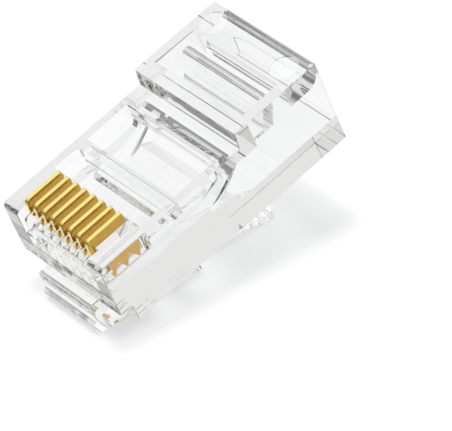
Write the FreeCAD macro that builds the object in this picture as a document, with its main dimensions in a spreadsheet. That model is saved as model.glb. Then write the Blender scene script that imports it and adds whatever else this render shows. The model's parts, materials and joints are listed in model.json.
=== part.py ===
"""Eight-way modular plug: a clear one-piece moulding with a sprung latch and a fold-down cord clamp,
holding eight gold-plated contact blades that the crimping tool presses home.

The plug is drawn level, nose at y = 0 and cord end towards +y, underside at z = 0, and then tipped
nose down to the attitude in which it lies on its latch.  All lengths are in millimetres.
"""
import FreeCAD, Part
import math
import os
import re

import Sketcher

CONTACTS = 8
PRONGS = 3
GRIP_GROOVES = 3

SIZES = {
    # moulded body
    "body_width": 11.68,
    "body_length": 22.0,
    "front_height": 6.5,
    "rear_height": 8.0,
    "rear_block_length": 8.09,
    "step_run": 0.12,
    "nose_ledge_length": 1.15,
    "nose_ledge_height": 1.44,
    "nose_chamfer": 0.3,
    # contact rows and wire channels
    "contact_pitch": 1.02,
    "divider_thickness": 0.12,
    "divider_setback": 1.96,
    "divider_taper": 0.8,
    "divider_tip": 0.04,
    "channel_floor": 2.93,
    "channel_height": 1.07,
    "channel_front": 0.5,
    # open tray over the channels, and the bar across it
    "tray_width": 10.1,
    "tray_wall": 0.27,
    "ledge_rise": 0.5,
    "tray_corner": 0.6,
    "front_window_length": 2.34,
    "crossbar_thickness": 0.93,
    "crossbar_gap": 0.45,
    "sill_height": 0.45,
    "sill_run": 0.35,
    # cord room behind the channels
    "cavity_width": 9.8,
    "cavity_floor": 2.0,
    "ramp_setback": 0.54,
    "ramp_run": 1.2,
    "roof_lead": 0.85,
    "roof_reach": 2.35,
    "roof_curve": 9.0,
    "bridge_length": 3.5,
    "bridge_bottom": 5.05,
    "window_length": 3.69,
    "lip_length": 2.95,
    "lip_bottom": 5.84,
    "mouth_radius": 1.2,
    "ejector_radius": 1.15,
    "ejector_spacing": 8.2,
    "ejector_inset": 1.6,
    "ejector_depth": 0.05,
    # slotted nose in front of the contacts
    "nose_recess_width": 8.2,
    "nose_recess_depth": 1.25,
    "nose_floor_web": 0.25,
    "nose_floor_rise": 0.45,
    "rib_width": 0.23,
    "rib_corner": 0.35,
    # contact blades
    "contact_thickness": 0.33,
    "contact_clearance": 0.03,
    "contact_front": 0.8,
    "contact_depth": 3.5,
    "contact_stand": 0.85,
    "contact_height": 3.55,
    "contact_nose_radius": 0.5,
    "contact_heel_radius": 0.12,
    "contact_step": 0.25,
    "notch_drop": 1.75,
    "notch_radius": 0.26,
    "prong_length": 0.95,
    "prong_slot": 0.3,
    "prong_slot_corner": 0.12,
    "prong_lean": 0.12,
    # latch and the bend it springs from
    "latch_width": 6.1,
    "latch_overhang": 0.9,
    "limb_thickness": 0.95,
    "latch_drop": 1.62,
    "bend_radius": 1.3,
    "bend_inner_radius": 0.25,
    "hinge_inset": 0.38,
    "hinge_radius": 0.7,
    "hinge_clearance": 0.03,
    "arm_thickness": 0.7,
    "arm_level_end": 2.5,
    "arm_slope": 17.4,
    "shoulder_back": 8.4,
    "knee_back": 12.84,
    "tail_slope": 20.4,
    "tail_width": 3.2,
    "tail_thickness": 0.6,
    "tail_end": 16.5,
    "tail_corner": 1.2,
    "tip_radius": 0.25,
    "groove_radius": 0.16,
    "groove_pitch": 0.75,
    # cord clamp bar
    "clamp_width": 8.8,
    "clamp_thickness": 0.9,
    "clamp_length": 2.7,
    "clamp_lean": 19.0,
    "clamp_crown_flat": 0.04,
    "web_length": 1.0,
    "web_half_thickness": 0.15,
    "web_corner": 0.12,
    "web_height": 0.2,
    "web_clearance": 0.05,
}

doc = FreeCAD.newDocument("ModularPlug")
sheet = doc.addObject("Spreadsheet::Sheet", "Sizes")
for row, (alias, size) in enumerate(SIZES.items(), start=1):
    sheet.set(f"A{row}", alias)
    sheet.set(f"B{row}", str(size))
    sheet.setAlias(f"B{row}", alias)
doc.recompute()


def in_sheet(formula):
    """Turn a formula in size names into an expression that reads the sheet."""
    return re.sub(r"\b[a-z]+(?:_[a-z]+)+\b", lambda name: "Sizes." + name.group(), str(formula))


def value(formula):
    """Work a formula out as a plain number."""
    return float(sheet.evalExpression(in_sheet(formula)))


def bind(thing, path, formula):
    """Tie a property to the sheet."""
    thing.setExpression(path, in_sheet(formula))


# ---- sketches and features -------------------------------------------------------------------

class Corner:
    """A corner of an outline that runs anticlockwise: its two coordinates, the radius that rounds
    it, and the radius of the arc that leads from it to the next corner, where that edge is curved
    (positive bulges outwards, negative inwards)."""

    def __init__(self, across, up, rounded=0, curve=0):
        self.across = across
        self.up = up
        self.rounded = rounded
        self.curve = curve
        self.point = FreeCAD.Vector(value(across), value(up), 0)


def new_sketch(body, name, role, offset=0):
    """A sketch on one of the body's own origin planes, moved along the plane's normal."""
    sketch = body.newObject("Sketcher::SketchObject", name)
    plane = next(item for item in body.Origin.OriginFeatures if item.Role == role)
    sketch.AttachmentSupport = [(plane, "")]
    sketch.MapMode = "FlatFace"
    bind(sketch, ".AttachmentOffset.Base.z", offset)
    return sketch


def tie(sketch, kind, *where, to):
    """Add a constraint that carries a size."""
    index = sketch.addConstraint(Sketcher.Constraint(kind, *where, value(to)))
    bind(sketch, f"Constraints[{index}]", to)


def add_arc(sketch, centre, first, last, anticlockwise):
    """Draw an arc and say which of its ends, 1 or 2, comes first along the outline."""
    spokes = [point - centre for point in (first, last)]
    angles = [math.atan2(spoke.y, spoke.x) for spoke in spokes]
    circle = Part.Circle(centre, FreeCAD.Vector(0, 0, 1), spokes[0].Length)
    if anticlockwise:
        return sketch.addGeometry(Part.ArcOfCircle(circle, *angles), False), 1, 2
    return sketch.addGeometry(Part.ArcOfCircle(circle, *reversed(angles)), False), 2, 1


def rounding(before, corner, after):
    """Where the arc that rounds a corner starts and stops, its centre and which way it turns."""
    arriving = (before.point - corner.point).normalize()
    leaving = (after.point - corner.point).normalize()
    half_angle = arriving.getAngle(leaving) / 2
    reach = value(corner.rounded) / math.tan(half_angle)
    middle = (arriving + leaving).normalize()
    centre = corner.point + middle * (value(corner.rounded) / math.sin(half_angle))
    turns_left = leaving.cross(arriving).z > 0
    return corner.point + arriving * reach, corner.point + leaving * reach, centre, turns_left


def add_edge(sketch, corner, first, last):
    """Draw the edge from one corner to the next, straight or curved."""
    if not corner.curve:
        return sketch.addGeometry(Part.LineSegment(first, last), False), 1, 2
    radius = abs(value(corner.curve))
    bulges = value(corner.curve) > 0
    chord = last - first
    left = FreeCAD.Vector(-chord.y, chord.x, 0).normalize()
    depth = math.sqrt(radius ** 2 - (chord.Length / 2) ** 2)
    centre = (first + last) / 2 + left * (depth if bulges else -depth)
    return add_arc(sketch, centre, first, last, bulges)


def add_outline(sketch, corners):
    """Draw a closed outline through its corners and tie every one of them to the sheet."""
    count = len(corners)
    rounds = [rounding(corners[i - 1], corner, corners[(i + 1) % count]) if corner.rounded else None
              for i, corner in enumerate(corners)]
    arcs = [add_arc(sketch, turn[2], turn[0], turn[1], turn[3]) if turn else None for turn in rounds]
    edges = []
    for i, corner in enumerate(corners):
        following = (i + 1) % count
        first = rounds[i][1] if rounds[i] else corner.point
        last = rounds[following][0] if rounds[following] else corners[following].point
        edges.append(add_edge(sketch, corner, first, last))
    for i, corner in enumerate(corners):
        arriving, start, end = edges[i - 1]
        leaving, begin, finish = edges[i]
        if corner.rounded:
            arc, arc_in, arc_out = arcs[i]
            sketch.addConstraint(Sketcher.Constraint("Tangent", arriving, end, arc, arc_in))
            sketch.addConstraint(Sketcher.Constraint("Tangent", arc, arc_out, leaving, begin))
            tie(sketch, "Radius", arc, to=corner.rounded)
            fixed, place = sketch.addGeometry(Part.Point(corner.point), True), 1
            sketch.addConstraint(Sketcher.Constraint("PointOnObject", fixed, 1, arriving))
            sketch.addConstraint(Sketcher.Constraint("PointOnObject", fixed, 1, leaving))
        else:
            sketch.addConstraint(Sketcher.Constraint("Coincident", arriving, end, leaving, begin))
            fixed, place = leaving, begin
        tie(sketch, "DistanceX", fixed, place, to=corner.across)
        tie(sketch, "DistanceY", fixed, place, to=corner.up)
        if corner.curve:
            tie(sketch, "Radius", leaving, to=f"abs({corner.curve})")


def add_circle(sketch, across, up, radius):
    """Draw a full circle about a point."""
    centre = FreeCAD.Vector(value(across), value(up), 0)
    circle = sketch.addGeometry(Part.Circle(centre, FreeCAD.Vector(0, 0, 1), value(radius)), False)
    tie(sketch, "DistanceX", circle, 3, to=across)
    tie(sketch, "DistanceY", circle, 3, to=up)
    tie(sketch, "Radius", circle, to=radius)


def extrude(kind, sketch, length, both_ways):
    """Pad or pocket a sketch: to both sides of its plane, or upwards for a pad and downwards for a
    pocket."""
    body = sketch.getParentGeoFeatureGroup()
    feature = body.newObject(f"PartDesign::{kind}", sketch.Label + kind)
    feature.Profile = sketch
    feature.SideType = "Symmetric" if both_ways else "One side"
    bind(feature, "Length", length)
    sketch.Visibility = False
    doc.recompute()
    return feature


def across_width(kind, body, name, width, corners, centre=0):
    """Pad or pocket a side profile, drawn in y and z, across the given width."""
    sketch = new_sketch(body, name, "YZ_Plane", centre)
    add_outline(sketch, corners)
    return extrude(kind, sketch, width, True)


def round_pockets(body, name, width, circles):
    """Bore round grooves across the given width, each about a point in y and z."""
    sketch = new_sketch(body, name, "YZ_Plane")
    for circle in circles:
        add_circle(sketch, *circle)
    return extrude("Pocket", sketch, width, True)


def plan_pocket(body, name, top, depth, corners):
    """Pocket a plan outline, drawn in x and y, down from the given height."""
    sketch = new_sketch(body, name, "XY_Plane", top)
    add_outline(sketch, corners)
    return extrude("Pocket", sketch, depth, False)


def repeat_across(feature, count, pitch):
    """Repeat a feature along x."""
    body = feature.getParentGeoFeatureGroup()
    x_axis = next(item for item in body.Origin.OriginFeatures if item.Role == "X_Axis")
    pattern = body.newObject("PartDesign::LinearPattern", feature.Label + "Row")
    pattern.Originals = [feature]
    pattern.Direction = (x_axis, [""])
    pattern.Mode = "Spacing"
    bind(pattern, "Offset", pitch)
    pattern.Occurrences = count
    body.Tip = pattern
    doc.recompute()
    return pattern


def box_corners(left, right, low, high):
    """The four corners of a rectangle."""
    return [Corner(left, low), Corner(right, low), Corner(right, high), Corner(left, high)]


def straight_edges(shape, chosen):
    """Names of the straight edges whose two ends both pass a test."""
    names = []
    for number, edge in enumerate(shape.Edges, start=1):
        if len(edge.Vertexes) == 2 and all(chosen(vertex.Point) for vertex in edge.Vertexes):
            names.append(f"Edge{number}")
    return names


def dress(kind, body, name, size, chosen):
    """Chamfer or fillet the straight edges of the body that pass a test."""
    base = body.Tip
    feature = body.newObject(f"PartDesign::{kind}", name)
    feature.Base = (base, straight_edges(base.Shape, chosen))
    bind(feature, "Size" if kind == "Chamfer" else "Radius", size)
    body.Tip = feature
    doc.recompute()
    return feature


def near(number, formula):
    """Whether a coordinate lies at the place that a formula gives."""
    return abs(number - value(formula)) < 1e-4


# ---- housing ---------------------------------------------------------------------------------

THROAT_WIDTH = f"({CONTACTS} * contact_pitch)"
FIRST_CONTACT = f"-{(CONTACTS - 1) / 2} * contact_pitch"
CONTACT_BACK = "(contact_front + contact_depth)"
CONTACT_TOP = "(front_height + contact_stand)"
CHANNEL_TOP = "(channel_floor + channel_height)"
LEDGE_UP = f"({CHANNEL_TOP} + ledge_rise)"
TRAY_FRONT = f"({CONTACT_BACK} + contact_clearance + tray_wall)"
CROSSBAR_FRONT = f"({TRAY_FRONT} + front_window_length)"
WINDOW_FRONT = "(body_length - lip_length - window_length)"
TRAY_BACK = f"({WINDOW_FRONT} - bridge_length)"
DIVIDER_BACK = f"({TRAY_BACK} - divider_setback)"
RAMP_FOOT = f"({TRAY_BACK} + ramp_setback)"
BLOCK_FRONT = "(body_length - rear_block_length)"
OUTSIDE = "rear_height"

LIMB_BACK = "(limb_thickness - latch_overhang)"
HINGE_BACK = "(limb_thickness / 2 - latch_overhang)"
HINGE_UP = "(bend_radius - latch_drop - hinge_inset)"


def outer_form(body):
    """The stepped block, with the ledge under its nose that the latch grows from."""
    across_width("Pad", body, "Block", "body_width", [
        Corner("nose_ledge_length", 0),
        Corner("body_length", 0),
        Corner("body_length", "rear_height"),
        Corner(BLOCK_FRONT, "rear_height"),
        Corner(f"{BLOCK_FRONT} - step_run", "front_height"),
        Corner(0, "front_height"),
        Corner(0, "nose_ledge_height"),
        Corner("nose_ledge_length", "nose_ledge_height"),
    ])


def latch_root(body):
    """The slab under the nose that turns down in front, with the hollow seat of the bend."""
    across_width("Pad", body, "LatchRoot", "latch_width", [
        Corner("-latch_overhang", HINGE_UP),
        Corner(LIMB_BACK, HINGE_UP),
        Corner(LIMB_BACK, 0),
        Corner("nose_ledge_length + nose_ledge_height", 0),
        Corner("nose_ledge_length + nose_ledge_height", "nose_ledge_height"),
        Corner("-latch_overhang", "nose_ledge_height"),
    ])
    round_pockets(body, "BendSeat", "latch_width + 2 * hinge_clearance", [
        (HINGE_BACK, HINGE_UP, "hinge_radius + hinge_clearance"),
    ])


def open_tray(body):
    """The tray that is open to the top, its ledges beside the wires and the room behind them."""
    across_width("Pocket", body, "Tray", "tray_width", [
        Corner(TRAY_FRONT, LEDGE_UP),
        Corner(TRAY_BACK, LEDGE_UP, rounded="tray_corner"),
        Corner(TRAY_BACK, OUTSIDE),
        Corner(TRAY_FRONT, OUTSIDE),
    ])
    across_width("Pocket", body, "Throat", THROAT_WIDTH, [
        Corner(TRAY_FRONT, CHANNEL_TOP),
        Corner(DIVIDER_BACK, CHANNEL_TOP),
        Corner(DIVIDER_BACK, "channel_floor"),
        Corner(f"{RAMP_FOOT} - ramp_run", "channel_floor"),
        Corner(RAMP_FOOT, "cavity_floor"),
        Corner(RAMP_FOOT, "bridge_bottom"),
        Corner(TRAY_FRONT, "bridge_bottom"),
    ])


def wire_channels(body):
    """Eight wire channels side by side, with dividers that taper to a tip where the wires enter."""
    half_wide = "(contact_pitch - divider_thickness) / 2"
    half_mouth = "(contact_pitch - divider_tip) / 2"
    channel = plan_pocket(body, "Channel", CHANNEL_TOP, "channel_height", [
        Corner(f"{FIRST_CONTACT} - {half_wide}", "channel_front"),
        Corner(f"{FIRST_CONTACT} + {half_wide}", "channel_front"),
        Corner(f"{FIRST_CONTACT} + {half_wide}", f"{DIVIDER_BACK} - divider_taper"),
        Corner(f"{FIRST_CONTACT} + {half_mouth}", DIVIDER_BACK),
        Corner(f"{FIRST_CONTACT} - {half_mouth}", DIVIDER_BACK),
        Corner(f"{FIRST_CONTACT} - {half_wide}", f"{DIVIDER_BACK} - divider_taper"),
    ])
    repeat_across(channel, CONTACTS, "contact_pitch")


def cord_room(body):
    """The room for the cord's jacket, with a roof that curves down to the wires at its sides, the
    window of the clamp and a rounded mouth."""
    across_width("Pocket", body, "CordRoom", "cavity_width", [
        Corner(f"{RAMP_FOOT} - ramp_run", "channel_floor"),
        Corner(RAMP_FOOT, "cavity_floor"),
        Corner("body_length + mouth_radius", "cavity_floor"),
        Corner("body_length + mouth_radius", "bridge_bottom"),
        Corner(f"{RAMP_FOOT} + roof_lead", "bridge_bottom", curve="-roof_curve"),
        Corner(f"{RAMP_FOOT} - roof_reach", "channel_floor"),
    ])
    across_width("Pocket", body, "RearRoom", "cavity_width", box_corners(
        WINDOW_FRONT, "body_length + mouth_radius", "cavity_floor", "lip_bottom"))
    plan_pocket(body, "ClampWindow", OUTSIDE, "rear_height - lip_bottom", box_corners(
        "-cavity_width / 2", "cavity_width / 2", WINDOW_FRONT, "body_length - lip_length"))
    dress("Fillet", body, "Mouth", "mouth_radius",
          lambda point: near(point.y, "body_length") and near(point.z, "lip_bottom"))


def crossbar(body):
    """The bar across the tray that holds the wires down, over a sill that slopes up to it."""
    width = "(tray_width + body_width) / 2"
    crossbar_back = f"{CROSSBAR_FRONT} + crossbar_thickness"
    across_width("Pad", body, "Crossbar", width, box_corners(
        CROSSBAR_FRONT, crossbar_back, f"{LEDGE_UP} + crossbar_gap", "front_height"))
    across_width("Pad", body, "Sill", width, [
        Corner(f"{CROSSBAR_FRONT} - sill_run", CHANNEL_TOP),
        Corner(crossbar_back, CHANNEL_TOP),
        Corner(crossbar_back, f"{CHANNEL_TOP} + sill_height"),
        Corner(CROSSBAR_FRONT, f"{CHANNEL_TOP} + sill_height"),
    ])


def slotted_nose(body):
    """The recess in the nose with its thin ribs, and the slots that the contacts drop through."""
    floor_up = f"{CHANNEL_TOP} + nose_floor_web"
    across_width("Pocket", body, "NoseRecess", "nose_recess_width", [
        Corner("-nose_recess_depth", floor_up),
        Corner(0, floor_up),
        Corner("nose_recess_depth", f"{floor_up} + nose_floor_rise"),
        Corner("nose_recess_depth", OUTSIDE),
        Corner("-nose_recess_depth", OUTSIDE),
    ])
    rib = across_width("Pad", body, "Rib", "rib_width", [
        Corner(0, CHANNEL_TOP),
        Corner("nose_recess_depth + rib_corner", CHANNEL_TOP),
        Corner("nose_recess_depth + rib_corner", "front_height"),
        Corner(0, "front_height", rounded="rib_corner"),
    ], centre=f"{FIRST_CONTACT} + contact_pitch / 2")
    repeat_across(rib, CONTACTS - 1, "contact_pitch")
    half_slot = "(contact_thickness / 2 + contact_clearance)"
    slot = plan_pocket(body, "BladeSlot", OUTSIDE, f"rear_height - {CHANNEL_TOP}", box_corners(
        f"{FIRST_CONTACT} - {half_slot}", f"{FIRST_CONTACT} + {half_slot}",
        "contact_front - contact_clearance", f"{CONTACT_BACK} + contact_clearance"))
    repeat_across(slot, CONTACTS, "contact_pitch")


def finish_edges(body):
    """The bevelled front corners of the side walls and the two round ejector marks on top."""
    dress("Chamfer", body, "NoseCorners", "nose_chamfer",
          lambda point: near(point.y, 0) and near(point.z, "front_height")
          and abs(point.x) > value("nose_recess_width / 2") - 0.01)
    sketch = new_sketch(body, "EjectorMarks", "XY_Plane", "rear_height")
    for side in ("-", ""):
        add_circle(sketch, f"{side}ejector_spacing / 2", "body_length - ejector_inset",
                   "ejector_radius")
    extrude("Pocket", sketch, "ejector_depth", False)


def build_housing():
    """The whole clear moulding up to the bend of the latch."""
    body = doc.addObject("PartDesign::Body", "housing")
    outer_form(body)
    latch_root(body)
    open_tray(body)
    wire_channels(body)
    cord_room(body)
    crossbar(body)
    slotted_nose(body)
    finish_edges(body)
    return body


# ---- latch -----------------------------------------------------------------------------------

KNEE_UP = "-latch_drop - (knee_back - arm_level_end) * tan(arm_slope)"
TAIL_UP = f"{KNEE_UP} - (tail_end - knee_back) * tan(tail_slope)"


def build_latch():
    """The sprung tab: the bend, the sloping arm with its two locking shoulders, and the tail."""
    body = doc.addObject("PartDesign::Body", "latch_tab")
    seat_up = f"sqrt(pow(hinge_radius; 2) - pow(limb_thickness / 2; 2)) + {HINGE_UP}"
    across_width("Pad", body, "Profile", "latch_width", [
        Corner("-latch_overhang", "-latch_drop", rounded="bend_radius"),
        Corner("arm_level_end", "-latch_drop"),
        Corner("knee_back", KNEE_UP),
        Corner("tail_end", TAIL_UP, rounded="tip_radius"),
        Corner("tail_end", f"{TAIL_UP} + tail_thickness", rounded="tip_radius"),
        Corner("knee_back", f"{KNEE_UP} + tail_thickness"),
        Corner("arm_level_end", "arm_thickness - latch_drop"),
        Corner(LIMB_BACK, "arm_thickness - latch_drop", rounded="bend_inner_radius"),
        Corner(LIMB_BACK, seat_up, curve="hinge_radius"),
        Corner("-latch_overhang", seat_up),
    ])
    plan_pocket(body, "TailOutline", 0, "body_length", [
        Corner("tail_width / 2", "shoulder_back"),
        Corner("latch_width", "shoulder_back"),
        Corner("latch_width", "body_length"),
        Corner("-latch_width", "body_length"),
        Corner("-latch_width", "shoulder_back"),
        Corner("-tail_width / 2", "shoulder_back"),
        Corner("-tail_width / 2", "tail_end", rounded="tail_corner"),
        Corner("tail_width / 2", "tail_end", rounded="tail_corner"),
    ])
    grooves = []
    for number in range(GRIP_GROOVES):
        back = f"tail_end - {number + 1} * groove_pitch"
        grooves.append((back, f"{KNEE_UP} - ({back} - knee_back) * tan(tail_slope)",
                        "groove_radius"))
    round_pockets(body, "GripGrooves", "latch_width", grooves)
    return body


# ---- cord clamp ------------------------------------------------------------------------------

CLAMP_HINGE = (f"{WINDOW_FRONT} + web_half_thickness + web_clearance", "bridge_bottom + web_height")


def build_clamp():
    """The bar that folds down on the cord, drawn about the line where its web bends."""
    body = doc.addObject("PartDesign::Body", "strain_relief_bar")
    along = "sin(clamp_lean)"
    upward = "cos(clamp_lean)"
    front_top = f"web_length + clamp_length * {along}"
    crown = "(clamp_thickness - clamp_crown_flat) / 2"
    across_width("Pad", body, "ClampProfile", "clamp_width", [
        Corner("-web_half_thickness", "-web_half_thickness", rounded="web_corner"),
        Corner("web_length + clamp_thickness / cos(clamp_lean)"
               " - web_half_thickness * tan(clamp_lean)", "-web_half_thickness",
               rounded="web_half_thickness"),
        Corner(f"{front_top} + clamp_thickness * {upward}",
               f"clamp_length * {upward} - clamp_thickness * {along}", rounded=crown),
        Corner(front_top, f"clamp_length * {upward}", rounded=crown),
        Corner("web_length + web_half_thickness * tan(clamp_lean)", "web_half_thickness",
               rounded="web_half_thickness"),
        Corner("-web_half_thickness", "web_half_thickness", rounded="web_corner"),
    ])
    return body


# ---- contacts --------------------------------------------------------------------------------

def contact_outline():
    """The blade seen from the side: rounded nose, lower shoulders and the row of piercing prongs."""
    shoulder_up = f"{CONTACT_TOP} - notch_drop"
    tip_up = f"{CONTACT_TOP} - contact_height"
    root_up = f"{tip_up} + prong_length"
    front = "(contact_front + contact_step)"
    step = (f"(contact_depth - 2 * contact_step - {PRONGS - 1} * prong_slot) / {PRONGS}"
            " + prong_slot")
    corners = [
        Corner("contact_front", shoulder_up),
        Corner(front, shoulder_up),
        Corner(front, root_up),
    ]
    for number in range(PRONGS):
        left = f"{front} + {number} * ({step})"
        right = f"{left} + {step} - prong_slot"
        lean = number - (PRONGS - 1) / 2
        if number:
            corners.append(Corner(left, root_up, rounded="prong_slot_corner"))
        corners.append(Corner(f"({left} + {right}) / 2 + {lean} * prong_lean", tip_up))
        if number < PRONGS - 1:
            corners.append(Corner(right, root_up, rounded="prong_slot_corner"))
        else:
            corners.append(Corner(right, root_up))
    return corners + [
        Corner(f"{CONTACT_BACK} - contact_step", shoulder_up),
        Corner(CONTACT_BACK, shoulder_up),
        Corner(CONTACT_BACK, CONTACT_TOP, rounded="contact_heel_radius"),
        Corner("contact_front", CONTACT_TOP, rounded="contact_nose_radius"),
    ]


def build_contact(number):
    """One gold-plated blade, standing proud of its slot as it does before crimping."""
    body = doc.addObject("PartDesign::Body", f"contact_{number}")
    across_width("Pad", body, "Blade", "contact_thickness", contact_outline())
    notch_up = f"{CONTACT_TOP} - notch_drop"
    round_pockets(body, "Notches", "contact_thickness * 2", [
        ("contact_front", notch_up, "notch_radius"),
        (CONTACT_BACK, notch_up, "notch_radius"),
    ])
    return body


# ---- attitude and assembly -------------------------------------------------------------------

def resting_tilt():
    """The turn about x that lays the rounded bend and the tip of the tail on one level."""
    bend = FreeCAD.Vector(0, value("bend_radius - latch_overhang"),
                          value("bend_radius - latch_drop"))
    tip_back = "tail_end - tip_radius"
    tip_up = f"{KNEE_UP} - ({tip_back} - knee_back) * tan(tail_slope) + tip_radius / cos(tail_slope)"
    reach = FreeCAD.Vector(0, value(tip_back), value(tip_up)) - bend
    rise = value("tip_radius - bend_radius") / reach.Length
    return math.degrees(math.asin(rise) - math.atan2(reach.z, reach.y))


def place(bodies):
    """Tip the plug onto its latch and bring the middle of its footprint to the origin."""
    tilt = FreeCAD.Placement(FreeCAD.Vector(), FreeCAD.Rotation(FreeCAD.Vector(1, 0, 0),
                                                               resting_tilt()))
    seats = {body: FreeCAD.Placement() for body in bodies}
    for body in bodies:
        if body.Name.startswith("contact_"):
            across = value(f"{FIRST_CONTACT} + ({body.Name[8:]} - 1) * contact_pitch")
            seats[body].Base = FreeCAD.Vector(across, 0, 0)
    seats[doc.strain_relief_bar].Base = FreeCAD.Vector(0, *map(value, CLAMP_HINGE))
    extent = FreeCAD.BoundBox()
    for body in bodies:
        body.Placement = tilt * seats[body]
        doc.recompute()
        extent.add(body.Shape.optimalBoundingBox(False, False))
    drop = FreeCAD.Vector(-extent.Center.x, -extent.Center.y, -extent.ZMin)
    for body in bodies:
        body.Placement = FreeCAD.Placement(drop, FreeCAD.Rotation()) * body.Placement
    doc.recompute()


def check(bodies):
    """Stop if anything failed to build."""
    for item in doc.Objects:
        if "Invalid" in item.State or "Error" in item.State:
            raise RuntimeError(f"{item.Label} did not build: {item.State}")
    for body in bodies:
        if body.Shape.isNull() or not body.Shape.isValid() or len(body.Shape.Solids) != 1:
            raise RuntimeError(f"{body.Label} is not one sound solid")


parts = [build_housing(), build_latch(), build_clamp()]
parts += [build_contact(number + 1) for number in range(CONTACTS)]
place(parts)
check(parts)
os.makedirs("parts", exist_ok=True)
for part in parts:
    part.Shape.exportStep(f"parts/{part.Label}.step")
    print(f"{part.Label}: {part.Shape.Volume:.2f} cubic mm")
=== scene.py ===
"""A clear modular plug lying on its latch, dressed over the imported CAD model.

Units are metres, in the frame of the CAD row. The moulding replaces the housing and the latch,
the contacts and the clamp bar keep their CAD meshes, and every piece gets a procedural material.
"""
import json
import math

import bmesh
import bpy
from mathutils import Matrix, Vector, geometry


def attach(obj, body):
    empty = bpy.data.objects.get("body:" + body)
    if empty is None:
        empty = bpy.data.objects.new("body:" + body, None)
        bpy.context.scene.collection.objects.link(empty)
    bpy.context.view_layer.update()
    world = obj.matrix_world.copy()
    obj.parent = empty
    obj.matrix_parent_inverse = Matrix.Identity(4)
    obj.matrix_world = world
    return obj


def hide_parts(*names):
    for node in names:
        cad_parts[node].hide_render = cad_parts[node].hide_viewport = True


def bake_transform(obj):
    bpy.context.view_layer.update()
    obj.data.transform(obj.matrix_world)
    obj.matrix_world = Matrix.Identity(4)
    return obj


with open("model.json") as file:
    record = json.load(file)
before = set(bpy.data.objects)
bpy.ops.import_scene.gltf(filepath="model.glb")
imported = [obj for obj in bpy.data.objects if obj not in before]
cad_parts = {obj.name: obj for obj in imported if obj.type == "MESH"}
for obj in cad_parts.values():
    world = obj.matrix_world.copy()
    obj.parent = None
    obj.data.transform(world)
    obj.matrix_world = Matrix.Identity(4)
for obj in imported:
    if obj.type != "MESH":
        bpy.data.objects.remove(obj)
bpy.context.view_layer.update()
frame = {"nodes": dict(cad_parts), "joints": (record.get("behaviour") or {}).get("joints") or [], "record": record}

MM = 0.001

# ---- sizes ----------------------------------------------------------------------------------

EDGE_RADIUS = 0.10 * MM
EDGE_SEGMENTS = 2
SHARP_EDGE = math.radians(40)      # a corner at least this sharp is rounded
CURVE_EDGE = math.radians(35)      # faces that meet at less than this are shaded as one curve
FLAT_EDGE = math.radians(0.5)      # faces that meet at less than this are one flat face
SAME_POINT = 0.0005 * MM
ROOM = 2.5                         # free width beside a rounded edge, in radii

KNUCKLE_RADIUS = 0.75 * MM         # fills the clearance round the latch's hinge
KNUCKLE_LENGTH = 6.09 * MM

EJECTOR_ACROSS = 4.1 * MM          # from the middle of the plug to the middle of a mark
EJECTOR_INSET = 1.6 * MM           # from the cord's end of the plug
EJECTOR_HEIGHT = 4.045 * MM        # above the middle of the cord's mouth
EJECTOR_RADIUS = 1.12 * MM
EJECTOR_SKIN = 0.02 * MM

PLASTIC_IOR = 1.585                # polycarbonate

# ---- where the plug lies --------------------------------------------------------------------

mounts = {mount["name"]: mount for mount in frame["record"]["mounts"]}
plug_nose = Vector(mounts["jack_entry"]["axis"])
plug_right = Vector((1, 0, 0))
plug_up = plug_nose.cross(plug_right)
cord_mouth = Vector(mounts["cord_entry"]["pos_m"])
latch_joint = next(joint for joint in frame["joints"] if joint["name"] == "latch_flex")
bend_axis = Vector(latch_joint["pos_m"])


# ---- materials ------------------------------------------------------------------------------

def new_material(name):
    """An empty node material: its nodes, links and output."""
    material = bpy.data.materials.new(name)
    material.use_nodes = True
    nodes = material.node_tree.nodes
    nodes.clear()
    return material, nodes, material.node_tree.links, nodes.new("ShaderNodeOutputMaterial")


def noise(nodes, links, scale, detail):
    """Fine noise that is fixed to the piece; scale is one number, or one for each axis."""
    place = nodes.new("ShaderNodeTexCoord")
    stretch = nodes.new("ShaderNodeMapping")
    stretch.inputs["Scale"].default_value = scale if isinstance(scale, tuple) else (scale,) * 3
    links.new(place.outputs["Object"], stretch.inputs["Vector"])
    texture = nodes.new("ShaderNodeTexNoise")
    texture.inputs["Scale"].default_value = 1
    texture.inputs["Detail"].default_value = detail
    links.new(stretch.outputs["Vector"], texture.inputs["Vector"])
    return texture.outputs["Fac"]


def spread(nodes, links, value, low, high):
    """Stretch a value from 0 to 1 over the range from low to high."""
    ranged = nodes.new("ShaderNodeMapRange")
    ranged.inputs["To Min"].default_value = low
    ranged.inputs["To Max"].default_value = high
    links.new(value, ranged.inputs["Value"])
    return ranged.outputs["Result"]


def relief(nodes, links, height, strength, depth):
    """Surface relief from a height."""
    bump = nodes.new("ShaderNodeBump")
    bump.inputs["Strength"].default_value = strength
    bump.inputs["Distance"].default_value = depth
    links.new(height, bump.inputs["Height"])
    return bump.outputs["Normal"]


def tones(nodes, links, value, dark, light):
    """A colour between two tones."""
    ramp = nodes.new("ShaderNodeValToRGB")
    ramp.color_ramp.elements[0].color = (*dark, 1)
    ramp.color_ramp.elements[1].color = (*light, 1)
    links.new(value, ramp.inputs["Fac"])
    return ramp.outputs["Color"]


def choose(nodes, links, share, first, second):
    """The first shader, or the second as far as share says."""
    mix = nodes.new("ShaderNodeMixShader")
    links.new(share, mix.inputs["Fac"])
    links.new(first, mix.inputs[1])
    links.new(second, mix.inputs[2])
    return mix.outputs["Shader"]


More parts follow.
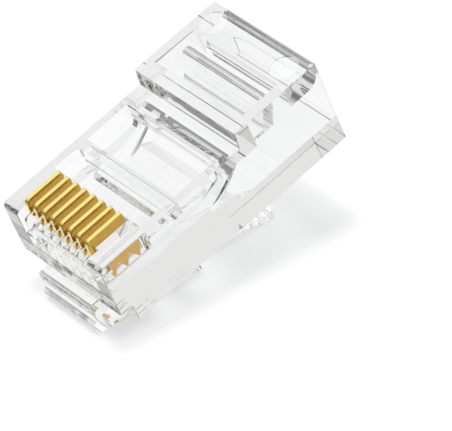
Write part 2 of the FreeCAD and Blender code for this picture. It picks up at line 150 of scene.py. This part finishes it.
def clear_plastic():
    """Moulded polycarbonate: it refracts, has a trace of flow in its surface and a pale shadow.

    Light that leaves the plastic passes or is turned back whole, by the larger share, which keeps
    the inside free of grain.
    """
    material, nodes, links, output = new_material("clear_polycarbonate")
    flow = noise(nodes, links, 90, 2)
    entering = nodes.new("ShaderNodeBsdfPrincipled")
    entering.inputs["Base Color"].default_value = (0.985, 0.988, 0.987, 1)
    entering.inputs["IOR"].default_value = PLASTIC_IOR
    entering.inputs["Transmission Weight"].default_value = 1
    links.new(spread(nodes, links, flow, 0.0, 0.02), entering.inputs["Roughness"])
    links.new(relief(nodes, links, flow, 0.05, 0.02 * MM), entering.inputs["Normal"])

    leaving = nodes.new("ShaderNodeBsdfRefraction")
    leaving.inputs["Color"].default_value = (0.99, 0.993, 0.993, 1)
    leaving.inputs["Roughness"].default_value = 0
    leaving.inputs["IOR"].default_value = PLASTIC_IOR
    turned_back = nodes.new("ShaderNodeBsdfAnisotropic")
    turned_back.inputs["Color"].default_value = (1, 1, 1, 1)
    turned_back.inputs["Roughness"].default_value = 0
    fresnel = nodes.new("ShaderNodeFresnel")
    fresnel.inputs["IOR"].default_value = PLASTIC_IOR
    mostly = nodes.new("ShaderNodeMath")
    mostly.operation = "GREATER_THAN"
    mostly.inputs[1].default_value = 0.5
    links.new(fresnel.outputs["Fac"], mostly.inputs[0])
    inside = choose(nodes, links, mostly.outputs["Value"],
                    leaving.outputs["BSDF"], turned_back.outputs["BSDF"])

    shape = nodes.new("ShaderNodeNewGeometry")
    sides = choose(nodes, links, shape.outputs["Backfacing"], entering.outputs["BSDF"], inside)
    passing = nodes.new("ShaderNodeBsdfTransparent")
    passing.inputs["Color"].default_value = (0.82, 0.825, 0.83, 1)
    path = nodes.new("ShaderNodeLightPath")
    links.new(choose(nodes, links, path.outputs["Is Shadow Ray"], sides, passing.outputs["BSDF"]),
              output.inputs["Surface"])

    depth = nodes.new("ShaderNodeVolumeAbsorption")
    depth.inputs["Color"].default_value = (0.04, 0.02, 0, 1)
    depth.inputs["Density"].default_value = 20
    links.new(depth.outputs["Volume"], output.inputs["Volume"])
    return material


def gold_plate():
    """Gold-plated stamping with fine drawn streaks and slight wear, and painted light and shade: the narrow edges
    are painted a bright gold, the broad sides a deeper, darker gold.
    """
    material, nodes, links, output = new_material("gold_plate")
    streaks = noise(nodes, links, (9000, 900, 9000), 3)
    shape = nodes.new("ShaderNodeNewGeometry")
    split = nodes.new("ShaderNodeSeparateXYZ")
    links.new(shape.outputs["True Normal"], split.inputs["Vector"])
    # Painted shade and highlight: the more a face turns along X, like the blades' broad sides, the darker its
    # painted gold; the edges facing up or forward get a brighter painted gold.
    painted_side_shade = nodes.new("ShaderNodeMath")
    painted_side_shade.operation = "ABSOLUTE"
    links.new(split.outputs["X"], painted_side_shade.inputs[0])
    lit_and_shaded_gold = nodes.new("ShaderNodeMix")
    lit_and_shaded_gold.data_type = "RGBA"
    links.new(painted_side_shade.outputs["Value"], lit_and_shaded_gold.inputs["Factor"])
    links.new(tones(nodes, links, streaks, (0.97, 0.78, 0.24), (1.0, 0.88, 0.33)), lit_and_shaded_gold.inputs["A"])
    links.new(tones(nodes, links, streaks, (0.62, 0.36, 0.07), (0.78, 0.49, 0.11)), lit_and_shaded_gold.inputs["B"])
    gold = nodes.new("ShaderNodeBsdfPrincipled")
    gold.inputs["Metallic"].default_value = 1
    links.new(lit_and_shaded_gold.outputs["Result"], gold.inputs["Base Color"])
    links.new(spread(nodes, links, streaks, 0.16, 0.30), gold.inputs["Roughness"])
    links.new(relief(nodes, links, streaks, 0.15, 0.005 * MM), gold.inputs["Normal"])
    links.new(gold.outputs["BSDF"], output.inputs["Surface"])
    return material


def frosted_plastic():
    """The matt, pale surface that an ejector pin leaves on the clear plastic."""
    material, nodes, links, output = new_material("frosted_polycarbonate")
    speckle = noise(nodes, links, 15000, 2)
    frost = nodes.new("ShaderNodeBsdfPrincipled")
    frost.inputs["Base Color"].default_value = (0.93, 0.935, 0.935, 1)
    frost.inputs["Roughness"].default_value = 0.55
    links.new(spread(nodes, links, speckle, 0.12, 0.28), frost.inputs["Alpha"])
    links.new(relief(nodes, links, speckle, 0.3, 0.01 * MM), frost.inputs["Normal"])
    links.new(frost.outputs["BSDF"], output.inputs["Surface"])
    return material


plastic = clear_plastic()
gold = gold_plate()
frosted = frosted_plastic()


def dress(node, material):
    """Give a CAD node a better material."""
    mesh = frame["nodes"][node].data
    if not mesh.materials:
        mesh.materials.append(material)
    for index in range(len(mesh.materials)):
        mesh.materials[index] = material


for name in frame["nodes"]:
    dress(name, gold if name.startswith("contact_") else plastic)


# ---- the moulding ---------------------------------------------------------------------------

def copy_of(node, name):
    """A copy of a CAD node as a piece of its own, in the row's frame."""
    source = frame["nodes"][node]
    piece = bpy.data.objects.new(name, source.data.copy())
    piece.data.transform(source.matrix_world)
    bpy.context.scene.collection.objects.link(piece)
    return piece


def apply_modifiers(piece):
    """Bake a piece's modifiers into its mesh."""
    depsgraph = bpy.context.evaluated_depsgraph_get()
    baked = bpy.data.meshes.new_from_object(piece.evaluated_get(depsgraph))
    piece.modifiers.clear()
    piece.data = baked


def merge_flats(piece):
    """Join the triangles of each flat face into one."""
    bm = bmesh.new()
    bm.from_mesh(piece.data)
    bmesh.ops.remove_doubles(bm, verts=bm.verts, dist=SAME_POINT)
    bmesh.ops.dissolve_limit(bm, angle_limit=FLAT_EDGE, verts=bm.verts, edges=bm.edges,
                             delimit={"MATERIAL"})
    bm.to_mesh(piece.data)
    bm.free()


def distance(point, start, end):
    """How far a point lies from the edge between two others."""
    nearest, share = geometry.intersect_point_line(point, start, end)
    if share < 0:
        nearest = start
    elif share > 1:
        nearest = end
    return (point - nearest).length


def clearance(edge):
    """How near any other edge of the faces beside an edge comes to it."""
    first, last = (vert.co for vert in edge.verts)
    near = math.inf
    for face in edge.link_faces:
        for other in face.edges:
            if set(other.verts) & set(edge.verts):
                continue
            start, end = (vert.co for vert in other.verts)
            near = min(near, distance(first, start, end), distance(last, start, end),
                       distance(start, first, last), distance(end, first, last))
    return near


def has_room(edge, radius):
    """Whether an edge can be rounded without running into what is beside it."""
    meeting = {other for vert in edge.verts for other in vert.link_edges}
    return min(clearance(edge), *(other.calc_length() for other in meeting)) > ROOM * radius


def round_edges(piece, radius):
    """Give a moulding's outward edges the small radius that catches the light."""
    bm = bmesh.new()
    bm.from_mesh(piece.data)
    weight = bm.edges.layers.float.new("bevel_weight_edge")
    for edge in bm.edges:
        sharp = edge.is_convex and edge.calc_face_angle(0) > SHARP_EDGE
        if sharp and has_room(edge, radius):
            edge[weight] = 1
    bm.to_mesh(piece.data)
    bm.free()
    bevel = piece.modifiers.new("edges", "BEVEL")
    bevel.width = radius
    bevel.segments = EDGE_SEGMENTS
    bevel.limit_method = "WEIGHT"
    bevel.use_clamp_overlap = False
    bevel.miter_outer = "MITER_SHARP"
    apply_modifiers(piece)


def smooth_curves(piece):
    """Shade curved faces smooth and keep the edges sharp."""
    bm = bmesh.new()
    bm.from_mesh(piece.data)
    for face in bm.faces:
        face.smooth = True
    for edge in bm.edges:
        edge.smooth = len(edge.link_faces) == 2 and edge.calc_face_angle(0) < CURVE_EDGE
    bm.to_mesh(piece.data)
    bm.free()


def flatten_shading(piece):
    """Let the wide flat faces set the normals that their rounded edges share."""
    weigh = piece.modifiers.new("weigh", "WEIGHTED_NORMAL")
    weigh.mode = "FACE_AREA"
    weigh.weight = 100
    weigh.keep_sharp = True
    apply_modifiers(piece)


def build_knuckle():
    """The plastic in the bend, where the CAD model leaves a clearance for the latch's hinge."""
    bpy.ops.mesh.primitive_cylinder_add(vertices=96, radius=KNUCKLE_RADIUS, depth=KNUCKLE_LENGTH,
                                        location=bend_axis, rotation=(0, math.radians(90), 0))
    return bpy.context.object


def build_moulding():
    """Body and latch as the one moulding that they are, joined in one piece where the latch leaves the nose, with
    the hinge's clearance filled.
    """
    moulding = copy_of("housing", "moulding")
    latch = copy_of("latch_tab", "latch_part")
    knuckle = build_knuckle()
    merge_flats(moulding)
    merge_flats(latch)
    for part in (knuckle, latch):
        union = moulding.modifiers.new("union", "BOOLEAN")
        union.operation = "UNION"
        union.solver = "EXACT"
        union.object = part
        apply_modifiers(moulding)
        bpy.data.objects.remove(part)
    merge_flats(moulding)
    round_edges(moulding, EDGE_RADIUS)
    smooth_curves(moulding)
    flatten_shading(moulding)
    moulding.data.materials.clear()
    moulding.data.materials.append(plastic)
    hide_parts("housing", "latch_tab")
    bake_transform(moulding)


def build_ejector_mark(name, side):
    """The matt skin at the bottom of a round ejector mark on top of the plug."""
    centre = (cord_mouth + plug_right * side * EJECTOR_ACROSS + plug_nose * EJECTOR_INSET
              + plug_up * EJECTOR_HEIGHT)
    turn = Matrix((plug_right, -plug_nose, plug_up)).transposed()
    bpy.ops.mesh.primitive_cylinder_add(vertices=64, radius=EJECTOR_RADIUS, depth=EJECTOR_SKIN,
                                        location=centre, rotation=turn.to_euler())
    mark = bpy.context.object
    mark.name = name
    mark.data.materials.append(frosted)
    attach(mark, "plug_body")


build_moulding()
build_ejector_mark("ejector_mark_left", -1)
build_ejector_mark("ejector_mark_right", 1)


# ---- stage ----------------------------------------------------------------------------------

FLOOR_SIZE = 4
FLOOR_BRIGHT = 0.015               # through the plastic the floor is white up to this far out,
FLOOR_FAR = 0.05                   # and at the far level from here on
FAR_STRAIGHT = 0.8                 # far level seen straight through the plastic
FAR_MIRRORED = 0.2                 # far level after a face has mirrored it

SUN_POWER = 2.3
SUN_WIDTH = math.radians(13)
SUN_FROM = Vector((-0.07, -0.08, 1))

VIEW_AZIMUTH = math.radians(55.04)
VIEW_ELEVATION = math.radians(36.63)
VIEW_ROLL = math.radians(-6.65)
VIEW_DISTANCE = 354.48 * MM
VIEW_AIM = Vector((0.732, 3.500, 1.891)) * MM
LENS = 382.4                       # millimetres, as Blender's cameras have it


def far_level(nodes, links):
    """How bright the studio is low down and far off: pale seen straight through the plastic, and
    darker where a face has mirrored it, which draws the edges."""
    path = nodes.new("ShaderNodeLightPath")
    return spread(nodes, links, path.outputs["Glossy Depth"], FAR_STRAIGHT, FAR_MIRRORED)


def build_floor():
    """A pale floor that reads as white, keeps the soft shadow and, seen through the plastic, greys
    away from the plug."""
    bpy.ops.mesh.primitive_plane_add(size=FLOOR_SIZE, location=(0, 0, 0))
    floor = bpy.context.object
    floor.name = "floor"
    material, nodes, links, output = new_material("pale_floor")
    matt = nodes.new("ShaderNodeBsdfDiffuse")
    matt.inputs["Color"].default_value = (0.55, 0.55, 0.55, 1)
    glow = nodes.new("ShaderNodeEmission")
    glow.inputs["Strength"].default_value = 0.425
    lit = nodes.new("ShaderNodeAddShader")
    links.new(matt.outputs["BSDF"], lit.inputs[0])
    links.new(glow.outputs["Emission"], lit.inputs[1])

    place = nodes.new("ShaderNodeTexCoord")
    away = nodes.new("ShaderNodeVectorMath")
    away.operation = "LENGTH"
    links.new(place.outputs["Object"], away.inputs[0])
    fade = nodes.new("ShaderNodeMapRange")
    fade.interpolation_type = "SMOOTHSTEP"
    fade.inputs["From Min"].default_value = FLOOR_BRIGHT
    fade.inputs["From Max"].default_value = FLOOR_FAR
    fade.inputs["To Min"].default_value = 1.0
    links.new(far_level(nodes, links), fade.inputs["To Max"])
    links.new(away.outputs["Value"], fade.inputs["Value"])
    backdrop = nodes.new("ShaderNodeEmission")
    links.new(fade.outputs["Result"], backdrop.inputs["Strength"])

    path = nodes.new("ShaderNodeLightPath")
    through = nodes.new("ShaderNodeMath")
    through.operation = "MAXIMUM"
    links.new(path.outputs["Is Transmission Ray"], through.inputs[0])
    links.new(path.outputs["Is Glossy Ray"], through.inputs[1])
    links.new(choose(nodes, links, through.outputs["Value"],
                     lit.outputs["Shader"], backdrop.outputs["Emission"]),
              output.inputs["Surface"])
    floor.data.materials.append(material)


def build_world():
    """Pale to the camera; to everything else a studio that is bright above and greyer level."""
    world = bpy.data.worlds.new("studio")
    bpy.context.scene.world = world
    world.use_nodes = True
    nodes, links = world.node_tree.nodes, world.node_tree.links
    nodes.clear()
    output = nodes.new("ShaderNodeOutputWorld")
    place = nodes.new("ShaderNodeTexCoord")
    split = nodes.new("ShaderNodeSeparateXYZ")
    links.new(place.outputs["Generated"], split.inputs["Vector"])
    rise = nodes.new("ShaderNodeMapRange")
    rise.inputs["From Min"].default_value = 0.08
    rise.inputs["From Max"].default_value = 0.65
    links.new(split.outputs["Z"], rise.inputs["Value"])
    links.new(far_level(nodes, links), rise.inputs["To Min"])
    path = nodes.new("ShaderNodeLightPath")
    room = nodes.new("ShaderNodeBackground")
    links.new(rise.outputs["Result"], room.inputs["Color"])
    links.new(spread(nodes, links, path.outputs["Is Diffuse Ray"], 1.0, 0.4),
              room.inputs["Strength"])
    pale = nodes.new("ShaderNodeBackground")
    links.new(choose(nodes, links, path.outputs["Is Camera Ray"],
                     room.outputs["Background"], pale.outputs["Background"]),
              output.inputs["Surface"])


def build_sun():
    """One wide, soft light from nearly overhead, which casts the shadow and isn't mirrored."""
    sun = bpy.data.lights.new("key", "SUN")
    sun.energy = SUN_POWER
    sun.angle = SUN_WIDTH
    key = bpy.data.objects.new("key", sun)
    bpy.context.scene.collection.objects.link(key)
    key.rotation_euler = SUN_FROM.to_track_quat("Z", "Y").to_euler()
    key.visible_transmission = False
    key.visible_glossy = False


def build_camera():
    """The camera looks down on the plug from its nose and right-hand side."""
    forward = Vector((-math.sin(VIEW_AZIMUTH) * math.cos(VIEW_ELEVATION),
                      math.cos(VIEW_AZIMUTH) * math.cos(VIEW_ELEVATION),
                      -math.sin(VIEW_ELEVATION)))
    level = forward.cross(Vector((0, 0, 1))).normalized()
    above = level.cross(forward)
    right = level * math.cos(VIEW_ROLL) + above * math.sin(VIEW_ROLL)
    upward = right.cross(forward)
    camera = bpy.data.objects.new("camera", bpy.data.cameras.new("camera"))
    camera.data.lens = LENS
    camera.data.clip_start = 0.01
    camera.data.clip_end = 10
    bpy.context.scene.collection.objects.link(camera)
    turn = Matrix((right, upward, -forward)).transposed().to_4x4()
    camera.matrix_world = Matrix.Translation(VIEW_AIM - forward * VIEW_DISTANCE) @ turn
    bpy.context.scene.camera = camera


build_floor()
build_world()
build_sun()
build_camera()
bpy.context.scene.view_settings.view_transform = "Standard"
light_paths = bpy.context.scene.cycles
light_paths.max_bounces = 40
light_paths.glossy_bounces = 32
light_paths.transmission_bounces = 32
